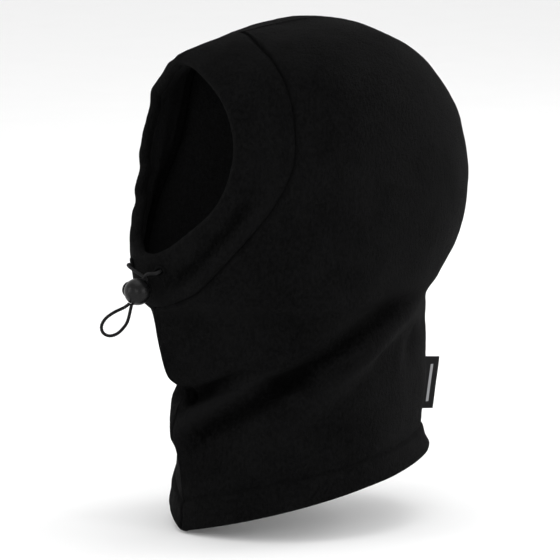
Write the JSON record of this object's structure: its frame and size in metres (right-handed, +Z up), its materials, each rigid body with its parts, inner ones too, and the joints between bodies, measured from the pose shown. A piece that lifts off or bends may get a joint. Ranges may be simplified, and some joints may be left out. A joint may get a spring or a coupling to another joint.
{
  "type": "balaclava",
  "caption": "Fleece balaclava with a round face opening, gathered by an elastic drawcord with a ball cord lock, and a long neck.",
  "frame": {"origin": "centre of the hood's head room, where the middle of the wearer's head lies", "axes": "+Z up the worn hood, -Y out of the face opening, +X to the wearer's left"},
  "size_m": [0.1704, 0.2712, 0.3228],
  "materials": {
    "fleece": "napped",
    "band_fleece": "napped",
    "overlock_thread": "matte",
    "stitch_thread": "matte",
    "elastic_cord": "braided",
    "lock_plastic": "satin",
    "spring_steel": "bright",
    "label_satin": "satin"
  },
  "bodies": {
    "hood": {"hood_panel_left": "fleece", "hood_panel_right": "fleece", "face_band": "band_fleece", "face_seam_overlock": "overlock_thread", "crown_back_overlock": "overlock_thread", "front_overlock": "overlock_thread", "hem_topstitch": "stitch_thread", "drawcord_left": "elastic_cord", "drawcord_right": "elastic_cord", "cord_end_bartack": "stitch_thread", "buttonhole_left": "stitch_thread", "buttonhole_right": "stitch_thread"},
    "cord": {"cord_strand_left": "elastic_cord", "cord_strand_right": "elastic_cord", "cord_loop": "elastic_cord"},
    "lock": {"lock_barrel": "lock_plastic", "lock_spring": "spring_steel"},
    "plunger": {"lock_plunger": "lock_plastic"},
    "label": {"flag_label": "label_satin"}
  },
  "joints": [
    {"name": "cord_swing", "type": "hinge", "parent": "hood", "child": "cord", "pos_m": [0, -0.1161, -0.04611], "axis": [-1, 0, 0], "range_deg": [0, 100]},
    {"name": "lock_slide", "type": "slide", "parent": "cord", "child": "lock", "axis": [0, -0.5708, -0.8211], "range_m": [0, 0.012], "deforming": ["cord_strand_left", "cord_strand_right", "cord_loop"]},
    {"name": "plunger_press", "type": "slide", "parent": "lock", "child": "plunger", "axis": [1, 0, 0], "range_m": [0, 0.0015], "stiffness_N_per_m": 600, "springref_m": -0.0005, "deforming": ["lock_spring"]},
    {"name": "label_flap", "type": "hinge", "parent": "hood", "child": "label", "pos_m": [0, 0.0845, -0.1413], "axis": [0, -0.1542, -0.988], "range_deg": [-50, 50], "stiffness_Nm_per_rad": 0.0005}
  ]
}
